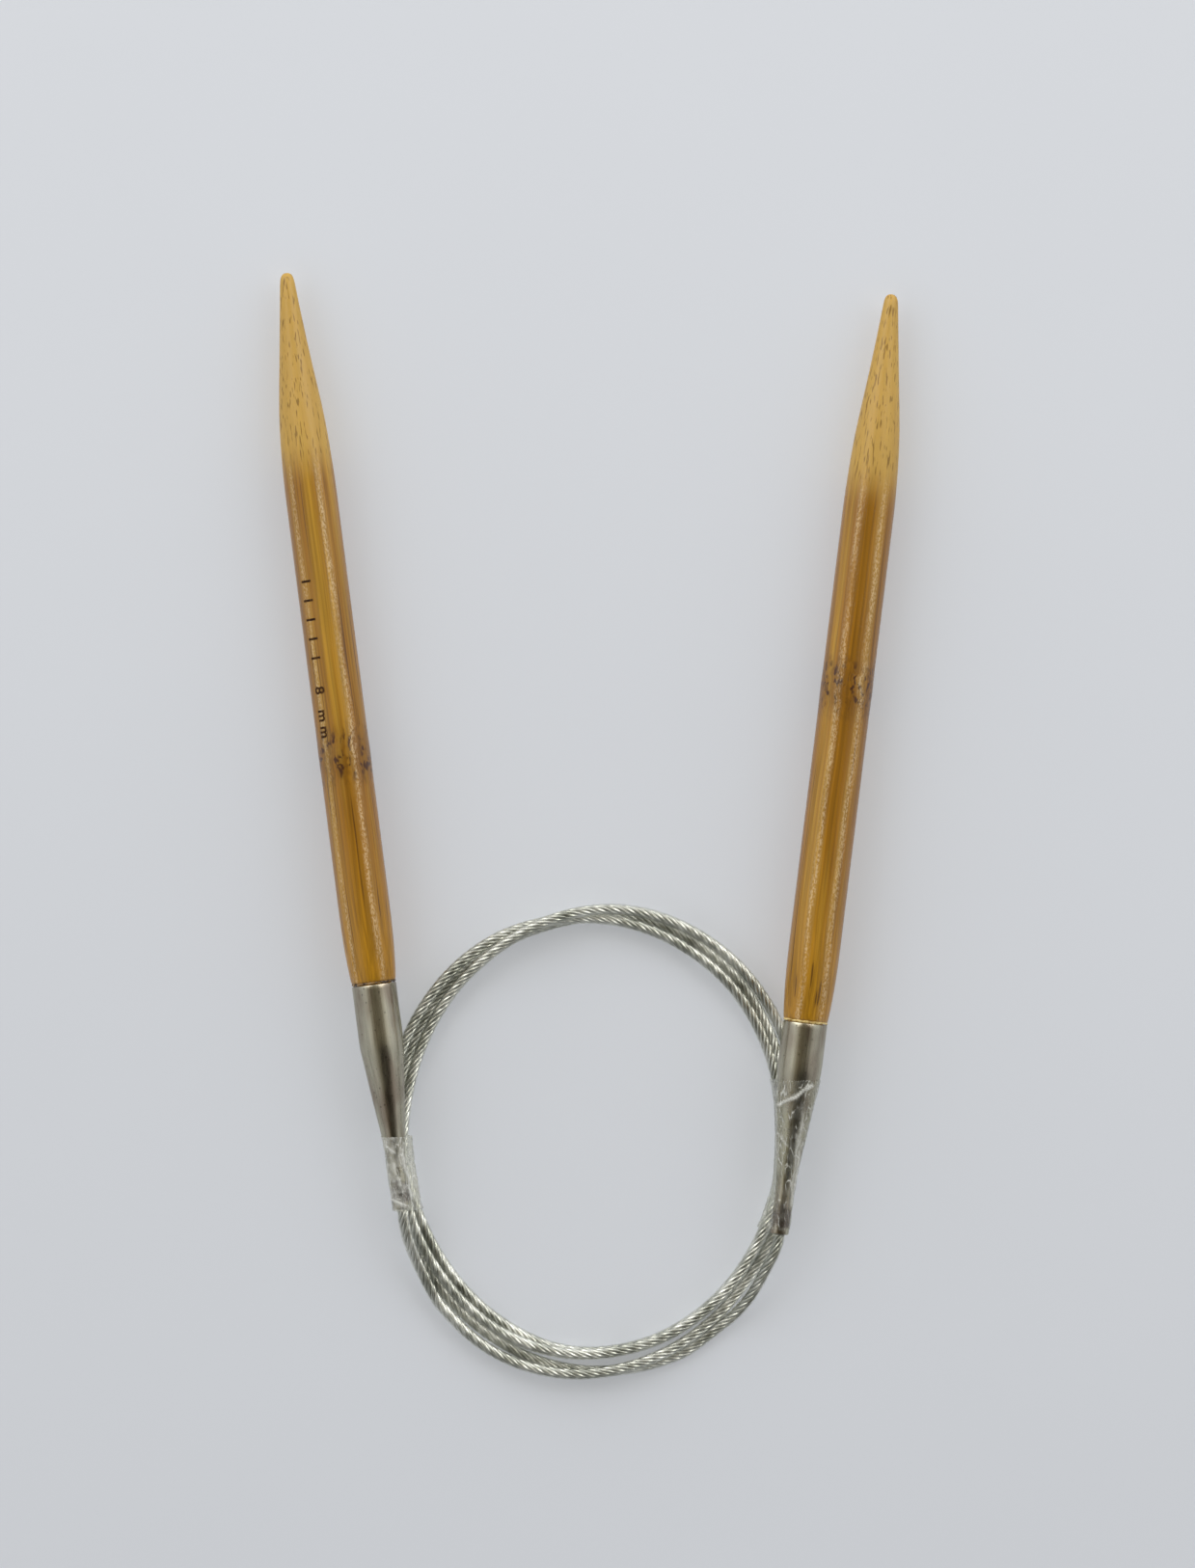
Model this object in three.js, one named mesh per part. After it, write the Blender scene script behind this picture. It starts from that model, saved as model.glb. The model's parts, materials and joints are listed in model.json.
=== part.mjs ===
// A circular knitting needle: two 8 mm bamboo needles with steel ferrules on the ends of one
// coated wire cable, stored with the cable wound into an oval coil and both ferrules taped to it.
// Millimetres, +Z up. The coil lies on z = 0, +Y points from the coil to the needle tips, and the
// origin is under the middle of the box around the two needles.
import * as THREE from 'three';
import { mergeVertices } from 'three/addons/utils/BufferGeometryUtils.js';

// ---- driving dimensions ----
const SHAFT_RADIUS = 4;
const TIP_RADIUS = 1.05;
const TIP_TAPER = 33;               // from the tip to where the shaft is at its full diameter
const TIP_SET = 0.54;               // how far the tip is worn over towards the other needle
const WAIST_RADIUS = 3.45;          // bamboo and steel where they meet
const SPIGOT_RADIUS = 2.75;
const SPIGOT_LENGTH = 8;
const NECK_RADIUS = 1.45;
const NECK_LENGTH = 8.4;
const CONE_LENGTH = 17;
const NECK_BORE = 1.15;
const SOCKET_BORE = 2.95;
const CABLE_RADIUS = 0.9;
const CABLE_IN_MOUTH = 1;
const ADHESIVE_THICKNESS = 0.3;
const JOINT_GAP = 0.15;
const PITCH = THREE.MathUtils.degToRad(1.1);   // the ferrules lie on the coil, so the tips dip
const TAPE_THICKNESS = 0.2;
const SIDES = 32;

const NEEDLES = [
  { side: 'left', mouth: [-28.9, -70.59], yaw: 7.354, ferrule: 35, length: 146.4, inward: 1 },
  { side: 'right', mouth: [29.41, -74.48], yaw: -7.09, ferrule: 32.9, length: 146.9, inward: -1 },
];

// the coil's middle line is an ellipse
const COIL = { x: -0.22, y: -60.67, a: 29.21, b: 35.65 };

// the coil's outside: angle from +X, inner and outer edge from the middle line, underside, and the
// height at the inner and at the outer edge, where the cable passes over itself
const COIL_STATIONS = [
  [0, -0.3, 3.9, 0.6, 3.1, 1.9],
  [12, -0.7, 4.6, 0.6, 2.9, 1.8],
  [24, -0.2, 5.0, 0.6, 3.1, 1.8],
  [32, -0.1, 4.9, 0, 3.1, 2.6],
  [42, -0.1, 4.7, 0, 3.1, 3.3],
  [60, -0.95, 3.5, 0, 3.3, 3.3],
  [80, -1.45, 2.05, 0, 3.6, 3.6],
  [98, -1.8, 1.0, 0, 5.0, 5.1],
  [106, -1.85, 0.75, 0, 5.2, 5.3],
  [120, -1.7, 1.45, 0, 4.7, 3.8],
  [140, -1.45, 2.5, 0, 3.4, 3.4],
  [160, -1.3, 2.9, 0.1, 3.3, 2.4],
  [174, -1.4, 2.4, 0.5, 3.4, 2.7],
  [186, -1.7, 1.9, 0.5, 3.4, 2.6],
  [199, -2.2, 1.7, 0.5, 3.4, 1.9],
  [206, -2.6, 1.7, 0.2, 3.4, 2.2],
  [213, -2.8, 2.4, 0, 3.3, 3.6],
  [222, -3.2, 2.65, 0, 3.1, 3.2],
  [240, -3.8, 2.35, 0, 3.3, 3.2],
  [262, -3.8, 1.5, 0, 3.6, 3.6],
  [280, -3.7, 1.2, 0, 3.7, 3.7],
  [298, -2.9, 2.5, 0, 3.6, 3.1],
  [309, -2.3, 3.3, 0, 3.6, 2.6],
  [317, -1.8, 1.75, 0, 3.6, 2.2],
  [328, -1.0, 2.3, 0, 3.6, 2.0],
  [338, -0.7, 3.1, 0.5, 3.6, 1.9],
  [350, -0.3, 3.6, 0.5, 3.2, 1.9],
];
const COIL_SECTIONS = 104;

// the two free stretches of the cable, from inside each ferrule's mouth down to the coil
const LEAD_LEFT = [
  [-29.03, -69.6, 6.16], [-28.85, -71.2, 6.15], [-28.6, -73.4, 5.75], [-27.85, -76.2, 4.85],
  [-27.3, -77.7, 4.35],
];
const LEAD_RIGHT = [
  [29.53, -73.49, 6.17], [29.25, -75.7, 6.15], [28.45, -77.9, 5.8], [27.35, -80.1, 5.1],
  [26, -82.8, 4], [24.5, -85.2, 2.95], [23.6, -86.4, 2.5],
];

// the tape wraps: y, left edge, right edge and top of each section, from z = 0
const WRAP_LEFT = [
  [-59, -33, -27.2, 8.3],
  [-64.7, -31.9, -26.8, 8.1],
  [-70.5, -30.9, -25.4, 8],
];
const WRAP_RIGHT = [
  [-50, 26, 36.7, 9.6],
  [-54.5, 26.9, 35.7, 9.2],
  [-60.7, 27.9, 34.1, 8.6],
  [-66.8, 27.6, 32.8, 8.1],
  [-74.4, 25.4, 31.6, 8],
];

const bamboo = new THREE.MeshStandardMaterial({ color: '#c98a2e', roughness: 0.35, metalness: 0 });
const steel = new THREE.MeshStandardMaterial({ color: '#a9a79c', roughness: 0.32, metalness: 1 });
const brass = new THREE.MeshStandardMaterial({ color: '#c9ab5a', roughness: 0.4, metalness: 1 });
const resin = new THREE.MeshStandardMaterial({ color: '#b8893a', roughness: 0.3, metalness: 0 });
const cable = new THREE.MeshStandardMaterial({ color: '#9c9d90', roughness: 0.4, metalness: 0.6 });
const film = new THREE.MeshStandardMaterial({ color: '#dadad6', roughness: 0.15, metalness: 0 });

// ---- geometry helpers ----

// One closed body: shared corners merged, collapsed triangles dropped, faces turned outwards.
function closed(geometry) {
  const bare = geometry.clone();
  bare.deleteAttribute('normal');
  bare.deleteAttribute('uv');
  const merged = mergeVertices(bare, 1e-5);
  const index = merged.index.array;
  const kept = [];
  for (let i = 0; i < index.length; i += 3) {
    const [a, b, c] = [index[i], index[i + 1], index[i + 2]];
    if (a !== b && b !== c && c !== a) kept.push(a, b, c);
  }
  if (signedVolume(merged, kept) < 0) kept.reverse();
  merged.setIndex(kept);
  merged.computeVertexNormals();
  return merged;
}

function signedVolume(geometry, index) {
  const corner = i => new THREE.Vector3().fromBufferAttribute(geometry.attributes.position, i);
  let total = 0;
  for (let i = 0; i < index.length; i += 3) {
    const [a, b, c] = [corner(index[i]), corner(index[i + 1]), corner(index[i + 2])];
    total += a.dot(b.cross(c)) / 6;
  }
  return total;
}

function piece(name, geometry, material) {
  const mesh = new THREE.Mesh(closed(geometry), material);
  mesh.name = name;
  return mesh;
}

// Turned about +Y; a profile point is [radius, height].
function turned(profile, sides = SIDES) {
  return new THREE.LatheGeometry(profile.map(([r, y]) => new THREE.Vector2(r, y)), sides);
}

function turnedRing(profile, sides = SIDES) {
  return turned([...profile, profile[0]], sides);
}

// A body like a bent picture frame: closed loops of points, each joined to the next and the last
// to the first.
function loftedRing(loops) {
  const count = loops[0].length;
  const positions = loops.flat().flatMap(p => [p.x, p.y, p.z]);
  const index = [];
  loops.forEach((loop, i) => {
    const here = i * count;
    const next = ((i + 1) % loops.length) * count;
    for (let j = 0; j < count; j += 1) {
      const k = (j + 1) % count;
      index.push(here + j, here + k, next + k, here + j, next + k, next + j);
    }
  });
  const geometry = new THREE.BufferGeometry();
  geometry.setAttribute('position', new THREE.Float32BufferAttribute(positions, 3));
  geometry.setIndex(index);
  return geometry;
}

// ---- the needles ----

// The shaft's outline as [radius, distance]: on from the ferrule's end, then back from the tip.
const SWELL = [[3.64, 2.3], [3.86, 5.5], [SHAFT_RADIUS, 9.5], [SHAFT_RADIUS, 40]];
const BEFORE_TAPER = 12;
const TAPER = [
  [SHAFT_RADIUS, TIP_TAPER + BEFORE_TAPER], [SHAFT_RADIUS, TIP_TAPER], [3.88, 29], [3.7, 25.5],
  [3.35, 21], [2.5, 13.8], [1.5, 4.9], [1.19, 1.9], [TIP_RADIUS, 0.9], [0.8, 0.35], [0.45, 0.07],
  [0, 0],
];

// The bamboo shaft, with a blunt tip at the far end and a spigot that is glued into the ferrule.
function shaftGeometry({ ferrule, length, inward }) {
  const shoulder = ferrule + JOINT_GAP * 2 + ADHESIVE_THICKNESS;
  const profile = [
    [0, ferrule - SPIGOT_LENGTH], [SPIGOT_RADIUS - 0.3, ferrule - SPIGOT_LENGTH],
    [SPIGOT_RADIUS, ferrule - SPIGOT_LENGTH + 0.5], [SPIGOT_RADIUS, shoulder],
    [WAIST_RADIUS, shoulder],
    ...SWELL.map(([radius, on]) => [radius, ferrule + on]),
    ...TAPER.map(([radius, back]) => [radius, length - back]),
  ];
  const geometry = turned(profile);
  const position = geometry.attributes.position;
  for (let i = 0; i < position.count; i += 1) {
    const along = THREE.MathUtils.clamp((position.getY(i) - length + TIP_TAPER) / TIP_TAPER, 0, 1);
    position.setX(i, position.getX(i) + inward * TIP_SET * along * along);
  }
  return geometry;
}

// The pressed steel ferrule: a socket for the bamboo, a long cone, and a neck for the cable.
function ferruleGeometry({ ferrule }) {
  const coneTop = NECK_LENGTH + CONE_LENGTH;
  return turnedRing([
    [NECK_BORE + 0.1, 0], [NECK_RADIUS - 0.1, 0], [NECK_RADIUS, 0.15], [NECK_RADIUS, NECK_LENGTH],
    [WAIST_RADIUS - 0.12, coneTop - 0.9], [WAIST_RADIUS - 0.03, coneTop + 0.4],
    [WAIST_RADIUS, coneTop + 1.5], [WAIST_RADIUS, ferrule],
    [SOCKET_BORE, ferrule], [SOCKET_BORE, coneTop - 0.5], [NECK_BORE, NECK_LENGTH],
    [NECK_BORE, 0.3],
  ]);
}

function adhesiveGeometry({ ferrule }) {
  const low = ferrule + JOINT_GAP;
  const high = low + ADHESIVE_THICKNESS;
  const inner = SPIGOT_RADIUS + 0.1;
  return turnedRing([[inner, low], [WAIST_RADIUS, low], [WAIST_RADIUS, high], [inner, high]]);
}

// The cable's end inside the ferrule, and the brass sleeve crimped on it, too wide for the neck.
const SLEEVE = { start: 12.2, length: 5, inner: 1, outer: 1.38 };

function cableEndGeometry() {
  const start = CABLE_IN_MOUTH + 0.4;
  const end = SLEEVE.start + SLEEVE.length + 0.6;
  return turned([[0, start], [CABLE_RADIUS, start], [CABLE_RADIUS, end], [0, end]], 12);
}

function sleeveGeometry() {
  const { start, length, inner, outer } = SLEEVE;
  return turnedRing([
    [inner, start], [outer - 0.1, start], [outer, start + 0.3], [outer, start + length],
    [inner, start + length],
  ], 16);
}

// Each needle hangs in a group whose +Y is its axis, from the ferrule's mouth to the tip.
function needle(spec) {
  const group = new THREE.Group();
  const bearing = spec.length - TIP_TAPER;
  const height = SHAFT_RADIUS * Math.cos(PITCH) + bearing * Math.sin(PITCH);
  group.position.set(spec.mouth[0], spec.mouth[1], height);
  group.rotation.set(-PITCH, 0, THREE.MathUtils.degToRad(spec.yaw), 'ZYX');
  group.add(
    piece(`shaft_${spec.side}`, shaftGeometry(spec), bamboo),
    piece(`adhesive_line_${spec.side}`, adhesiveGeometry(spec), resin),
    piece(`ferrule_${spec.side}`, ferruleGeometry(spec), steel),
    piece(`cable_end_${spec.side}`, cableEndGeometry(), cable),
    piece(`crimp_sleeve_${spec.side}`, sleeveGeometry(), brass),
  );
  return group;
}

// ---- the cable ----

// A point of the coil: angle from +X, distance outside the middle line, height.
function coilPoint(degrees, offset, height) {
  const angle = THREE.MathUtils.degToRad(degrees);
  const normal = new THREE.Vector2(Math.cos(angle) / COIL.a, Math.sin(angle) / COIL.b).normalize();
  return new THREE.Vector3(
    COIL.x + COIL.a * Math.cos(angle) + normal.x * offset,
    COIL.y + COIL.b * Math.sin(angle) + normal.y * offset,
    height,
  );
}

function coilGeometry() {
  const edge = pick => new THREE.CatmullRomCurve3(COIL_STATIONS.map(pick), true, 'centripetal');
  const edges = [
    edge(([at, inner, , under]) => coilPoint(at, inner, under)),
    edge(([at, , outer, under]) => coilPoint(at, outer, under)),
    edge(([at, , outer, , , top]) => coilPoint(at, outer, top)),
    edge(([at, inner, , , top]) => coilPoint(at, inner, top)),
  ];
  const loops = [];
  for (let i = 0; i < COIL_SECTIONS; i += 1) {
    const loop = edges.map(curve => curve.getPoint(i / COIL_SECTIONS));
    loop.forEach(corner => { corner.z = Math.max(corner.z, 0); });
    loops.push(loop);
  }
  return loftedRing(loops);
}

function leadGeometry(points) {
  const section = new THREE.Shape();
  section.absarc(0, 0, CABLE_RADIUS, 0, Math.PI * 2);
  const extrudePath = new THREE.CatmullRomCurve3(points.map(p => new THREE.Vector3(...p)));
  return new THREE.ExtrudeGeometry(section, { steps: 6, curveSegments: 4, extrudePath });
}

// ---- the tape ----

// One section of a wrap, a box with well-rounded corners in a plane of constant y.
function wrapLoop([y, left, right, top], inset) {
  const across = (right - left) / 2 - inset;
  const up = top / 2 - inset;
  const points = [];
  for (let i = 0; i < 24; i += 1) {
    const angle = (i / 24) * Math.PI * 2;
    const [c, s] = [Math.cos(angle), Math.sin(angle)];
    const x = Math.sign(c) * Math.cbrt(Math.abs(c)) * across;
    const z = Math.sign(s) * Math.cbrt(Math.abs(s)) * up;
    points.push(new THREE.Vector3((left + right) / 2 + x, y, top / 2 + z));
  }
  return points;
}

function wrapGeometry(stations) {
  const outside = stations.map(station => wrapLoop(station, 0));
  const inside = stations.map(station => wrapLoop(station, TAPE_THICKNESS)).reverse();
  return loftedRing([...outside, ...inside]);
}

// ---- the object ----
const circularNeedle = new THREE.Group();
circularNeedle.add(
  ...NEEDLES.map(needle),
  piece('cable_coil', coilGeometry(), cable),
  piece('cable_lead_left', leadGeometry(LEAD_LEFT), cable),
  piece('cable_lead_right', leadGeometry(LEAD_RIGHT), cable),
  piece('tape_wrap_left', wrapGeometry(WRAP_LEFT), film),
  piece('tape_wrap_right', wrapGeometry(WRAP_RIGHT), film),
);

export default circularNeedle;
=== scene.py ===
"""A circular knitting needle: two lacquered bamboo needles with steel ferrules on the ends of one
coated wire cable, wound into an oval coil and taped for sale. Each finished surface is an
operator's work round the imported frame."""

import json
import math

import bpy
import numpy as np
from mathutils import Euler, Matrix, Vector, noise


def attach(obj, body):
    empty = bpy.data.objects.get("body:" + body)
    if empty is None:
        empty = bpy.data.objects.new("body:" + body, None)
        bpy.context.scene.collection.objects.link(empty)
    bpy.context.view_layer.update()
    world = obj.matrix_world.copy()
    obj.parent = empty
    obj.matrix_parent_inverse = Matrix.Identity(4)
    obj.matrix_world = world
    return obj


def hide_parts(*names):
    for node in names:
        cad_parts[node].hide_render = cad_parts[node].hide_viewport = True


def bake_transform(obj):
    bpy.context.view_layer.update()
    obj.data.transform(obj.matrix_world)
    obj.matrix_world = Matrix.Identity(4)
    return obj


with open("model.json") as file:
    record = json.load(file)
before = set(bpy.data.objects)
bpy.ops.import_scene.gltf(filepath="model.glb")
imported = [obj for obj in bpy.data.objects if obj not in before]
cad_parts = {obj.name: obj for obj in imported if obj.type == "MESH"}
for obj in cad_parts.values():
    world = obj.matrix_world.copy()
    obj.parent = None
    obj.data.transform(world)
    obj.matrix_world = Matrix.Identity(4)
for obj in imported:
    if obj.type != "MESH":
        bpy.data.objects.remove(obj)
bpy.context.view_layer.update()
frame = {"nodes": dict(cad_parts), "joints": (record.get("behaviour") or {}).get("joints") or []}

bl_info = {
    "name": "Circular knitting needle",
    "version": (1, 0, 0),
    "blender": (4, 5, 0),
    "location": "View3D > Sidebar > Knitting",
    "description": "Bamboo, steel, wire cable and tape surfaces for a circular knitting needle",
    "category": "Object",
}

MM = 0.001
PITCH = math.radians(1.1)     # the ferrules lie on the coil, so the tips dip
TIP_TAPER = 33
TIP_SET = 0.54                # how far each tip is worn over towards the other
NECK_LENGTH = 8.4
TAU = 2 * math.pi

# Lengths in millimetres; the knot's is from the ferrule's mouth. painted_highlights are lines of
# painted highlight along the shaft, each a place across it and a half width.
NEEDLES = {
    "left": {"yaw": 7.354, "ferrule": 35, "length": 146.4, "inward": 1, "knot": 70.8, "seed": 5.7,
             "painted_highlights": [(-2.7, 0.55), (1.65, 0.75)]},
    "right": {"yaw": -7.09, "ferrule": 32.9, "length": 146.9, "inward": -1, "knot": 85.2,
              "seed": 8.4, "painted_highlights": [(-1.4, 0.75), (2.15, 0.8)]},
}

# The coil's middle line is an ellipse.
COIL_X, COIL_Y, COIL_A, COIL_B = -0.22, -60.67, 29.21, 35.65
LANE_STEP = 20                # degrees between the places given for the cable on the coil
FIRST_LANE = 220

# Where the cable lies on the coil, turn by turn: millimetres outside the middle line, and height.
TURNS = [
    [(1.8, 2.2), (1.5, 1.9), (0.6, 2.5), (0, 2.7), (0.3, 2.1), (1.1, 1), (2.2, 0.9), (2.8, 0.9),
     (4.2, 1), (3.9, 1.9), (2.6, 2.2), (1.2, 3.1), (-0.1, 4.4), (-0.8, 3.4), (-0.65, 2.3),
     (-0.5, 2.1), (-0.4, 2.6)],
    [(-0.1, 2.5), (-0.95, 2.1), (-1.8, 2.2), (-2.65, 2.7), (-2.8, 2.7), (-1.95, 2.7), (-0.7, 2.7),
     (0.45, 2.65), (1.7, 2.4), (2.4, 1), (2.3, 0.9), (1.25, 0.9), (0.2, 0.9), (-0.9, 0.9),
     (-0.55, 0.9), (0.6, 0.9), (0.9, 0.9), (0, 0.9)],
    [(-1.3, 0.9), (-2.3, 0.9), (-2.95, 0.9), (-2.95, 0.9), (-2.8, 0.9), (-1.95, 0.9), (-0.7, 0.9),
     (0.5, 0.9), (1.2, 0.9), (1.3, 0.95), (0.9, 1.9), (-0.1, 2.2), (-0.6, 2.5), (-0.45, 2.65),
     (0.7, 2.3), (1.65, 2.35), (2.1, 2.2), (1.4, 2.1)],
    [(0.75, 0.95), (0.4, 0.9), (-0.25, 0.9), (-0.25, 0.9), (0.35, 0.9), (1.8, 0.9)],
]
LEAD_LEFT = [
    (-29.03, -69.6, 6.16), (-28.85, -71.2, 6.15), (-28.6, -73.4, 5.75), (-27.85, -76.2, 4.85),
    (-26.8, -79, 3.6),
]
LEAD_RIGHT = [
    (20.1, -89.5, 1.05), (22.4, -87.6, 1.6), (24.4, -85.3, 2.8), (26, -82.8, 4),
    (27.35, -80.1, 5.1), (28.45, -77.9, 5.8), (29.25, -75.7, 6.15), (29.53, -73.49, 6.17),
]
TAPE_LIFT = 0.13              # where the tape passes under the coil, it lies this much higher
TAPED = ((0, 32), (187, 20))  # degrees round the coil: each wrap's middle, and its reach each way


# ---- shared helpers ----

def linear(hex_colour):
    """An sRGB hex colour as linear red, green, blue and alpha."""
    parts = [int(hex_colour[i:i + 2], 16) / 255 for i in (1, 3, 5)]
    return (*(c / 12.92 if c <= 0.04045 else ((c + 0.055) / 1.055) ** 2.4 for c in parts), 1)


def node(tree, kind, inputs=None, **settings):
    """Adds a shader node. An input is a plain value or another node's output."""
    made = tree.nodes.new("ShaderNode" + kind)
    for name, value in settings.items():
        setattr(made, name, value)
    for name, value in (inputs or {}).items():
        if isinstance(value, bpy.types.NodeSocket):
            tree.links.new(value, made.inputs[name])
        else:
            made.inputs[name].default_value = value
    return made


def new_material(name):
    """An empty node material and its tree."""
    material = bpy.data.materials.new(name)
    material.use_nodes = True
    material.node_tree.nodes.clear()
    return material, material.node_tree


def show(tree, surface):
    """Makes a shader the material's surface."""
    node(tree, "OutputMaterial", {"Surface": surface.outputs[0]})


def object_place(tree):
    return node(tree, "TexCoord").outputs["Object"]


def tones(tree, value, *stops):
    """A colour for each value, from stops of a place and a colour."""
    made = node(tree, "ValToRGB", {"Fac": value})
    elements = made.color_ramp.elements
    for element, (position, colour) in zip(elements, (stops[0], stops[-1])):
        element.position, element.color = position, colour
    for position, colour in stops[1:-1]:
        elements.new(position).color = colour
    return made.outputs[0]


def ranged(tree, value, first, last, interpolation="LINEAR"):
    """Maps a value between two places to a value between two results. Each end is a place and
    its result."""
    return node(tree, "MapRange", {
        "Value": value, "From Min": first[0], "From Max": last[0], "To Min": first[1],
        "To Max": last[1]}, interpolation_type=interpolation).outputs[0]


def reckon(tree, operation, *values):
    """The result of one operation on plain values or other nodes' outputs."""
    return node(tree, "Math", dict(enumerate(values)), operation=operation).outputs[0]


def noisy(tree, place, scale, detail, **settings):
    return node(tree, "TexNoise", {"Vector": place, "Scale": scale, "Detail": detail, **settings})


def laid_over(tree, amount, under, top):
    """One colour laid over another by this amount."""
    return node(tree, "Mix", {0: amount, 6: under, 7: top}, data_type="RGBA").outputs[2]


def relief(tree, height, depth, strength=1.0, **inputs):
    """A bump of this depth in millimetres."""
    return node(tree, "Bump", {
        "Height": height, "Strength": strength, "Distance": depth * MM, **inputs}).outputs[0]


def clear_shine(tree, bump):
    """How much a clear plastic face mirrors: little head on, nearly all at a grazing angle."""
    facing = node(tree, "LayerWeight", {"Blend": 0.5, "Normal": bump}).outputs["Facing"]
    return reckon(tree, "MULTIPLY_ADD", reckon(tree, "POWER", facing, 5.0), 0.7, 0.04)


def clear_plastic(tree, body, bump, roughness):
    """A see-through body under a mirror-like skin."""
    skin = node(tree, "BsdfGlossy", {"Roughness": roughness, "Normal": bump})
    show(tree, node(tree, "MixShader", {
        0: clear_shine(tree, bump), 1: body.outputs[0], 2: skin.outputs[0]}))


def smoothstep(value):
    value = min(max(value, 0), 1)
    return value * value * (3 - 2 * value)


def flowing(points, pieces):
    """A smooth curve through the points, each gap cut into this many pieces."""
    p = np.array(points, float)
    p = np.vstack([2 * p[0] - p[1], p, 2 * p[-1] - p[-2]])
    line = []
    for i in range(1, len(p) - 2):
        before, here, there, after = p[i - 1:i + 3]
        for k in range(pieces):
            t = k / pieces
            line.append(0.5 * (2 * here + (there - before) * t
                               + (2 * before - 5 * here + 4 * there - after) * t * t
                               + (3 * here - before - 3 * there + after) * t ** 3))
    line.append(p[-2])
    return np.array(line)


def evenly(line, spacing):
    """The same line with its points this far apart."""
    run = np.concatenate([[0], np.cumsum(np.linalg.norm(np.diff(line, axis=0), axis=1))])
    at = np.linspace(0, run[-1], round(run[-1] / spacing) + 1)
    return np.stack([np.interp(at, run, line[:, k]) for k in range(3)], 1), run[-1]


def needle_place(side):
    """Where a needle's own frame lies: its +Y is the axis, from the ferrule's mouth to the tip."""
    joint = next(j for j in frame["joints"] if j["name"] == "cable_flex_" + side)
    turn = Euler((-PITCH, 0, math.radians(NEEDLES[side]["yaw"])), "XYZ")
    return Matrix.Translation(joint["pos_m"]) @ turn.to_matrix().to_4x4()


def own_axis(tree, side):
    """Object coordinates turned into the needle's own frame."""
    place = needle_place(side)
    return node(tree, "Mapping", {
        "Vector": object_place(tree),
        "Location": place.translation,
        "Rotation": place.to_euler("XYZ"),
    }, vector_type="TEXTURE").outputs[0]


def turned(name, rings, sides, hollow=False):
    """A turned piece along +Y: a circle extruded and resized from ring to ring, each a radius, a
    distance along the axis and a shift to the side. A hollow one joins its last ring to its first."""
    bpy.ops.object.select_all(action="DESELECT")
    radius, along, shift = (v * MM for v in rings[0])
    bpy.ops.mesh.primitive_circle_add(
        vertices=sides, radius=radius, location=(shift, along, 0), rotation=(math.pi / 2, 0, 0))
    piece = bpy.context.object
    piece.name = name
    bpy.ops.object.mode_set(mode="EDIT")
    bpy.ops.mesh.select_all(action="SELECT")
    for ring in rings[1:]:
        next_radius, next_along, next_shift = (v * MM for v in ring)
        bpy.ops.mesh.extrude_region_move(TRANSFORM_OT_translate={
            "value": (next_shift - shift, next_along - along, 0)})
        scale = next_radius / radius
        bpy.ops.transform.resize(
            value=(scale, 1, scale), center_override=(next_shift, next_along, 0))
        radius, along, shift = next_radius, next_along, next_shift
    bpy.ops.mesh.select_all(action="SELECT")
    if hollow:
        bpy.ops.mesh.select_non_manifold(extend=False)
        bpy.ops.mesh.bridge_edge_loops()
    else:
        bpy.ops.mesh.fill_holes(sides=0)
    bpy.ops.mesh.select_all(action="SELECT")
    bpy.ops.mesh.normals_make_consistent(inside=False)
    bpy.ops.object.mode_set(mode="OBJECT")
    bpy.ops.object.transform_apply(location=True, rotation=True, scale=True)
    return piece


def set_in_place(piece, side):
    """Moves a piece made in a needle's own frame to its place, inside its mesh."""
    piece.matrix_world = needle_place(side)
    bpy.ops.object.select_all(action="DESELECT")
    piece.select_set(True)
    bpy.context.view_layer.objects.active = piece
    bpy.ops.object.transform_apply(location=True, rotation=True, scale=True)
    bpy.ops.object.shade_smooth_by_angle(angle=math.radians(40))


def apply_modifier(piece, kind, **settings):
    modifier = piece.modifiers.new(kind.title(), kind)
    for name, value in settings.items():
        setattr(modifier, name, value)
    bpy.ops.object.select_all(action="DESELECT")
    piece.select_set(True)
    bpy.context.view_layer.objects.active = piece
    bpy.ops.object.modifier_apply(modifier=modifier.name)


def mesh_piece(name, vertices, faces, material):
    """A smooth mesh object of these vertices and faces."""
    mesh = bpy.data.meshes.new(name)
    mesh.from_pydata(np.asarray(vertices).tolist(), [], faces)
    mesh.materials.append(material)
    mesh.shade_smooth()
    piece = bpy.data.objects.new(name, mesh)
    bpy.context.scene.collection.objects.link(piece)
    return piece


# ---- the cable ----

STRANDS = 6
WIRES = 7                     # in each strand
WIRE_LAY = 2.2                # millimetres along a strand for one turn of its wires
ROPE_STEP = 0.5               # millimetres between the rope's sections


def coil_point(degrees, offset, height):
    """A place on the coil, from how far round it is, how far outside the middle line and how high."""
    angle = math.radians(degrees)
    normal = Vector((math.cos(angle) / COIL_A, math.sin(angle) / COIL_B)).normalized()
    in_tape = max(smoothstep((reach - abs((degrees - middle + 180) % 360 - 180)) / 8)
                  for middle, reach in TAPED)
    return (COIL_X + COIL_A * math.cos(angle) + normal.x * offset,
            COIL_Y + COIL_B * math.sin(angle) + normal.y * offset,
            height + TAPE_LIFT * in_tape)


def cable_line(spacing):
    """The cable's centre line from the left mouth, round the coil, to the right mouth, and its
    length, in metres."""
    cuts = 4
    lanes = flowing([lane for turn in TURNS for lane in turn], cuts)
    coil = [coil_point(FIRST_LANE + i * LANE_STEP / cuts, *lane) for i, lane in enumerate(lanes)]
    line, length = evenly(flowing([*LEAD_LEFT, *coil, *LEAD_RIGHT], 8), spacing / MM)
    return line * MM, length * MM


def frames(line):
    """The upward and sideways unit vectors along a line, both square to it."""
    ahead = np.gradient(line, axis=0)
    ahead /= np.linalg.norm(ahead, axis=1)[:, None]
    side = np.cross(ahead, (0, 0, 1))
    side /= np.linalg.norm(side, axis=1)[:, None]
    return np.cross(side, ahead), side


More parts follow.
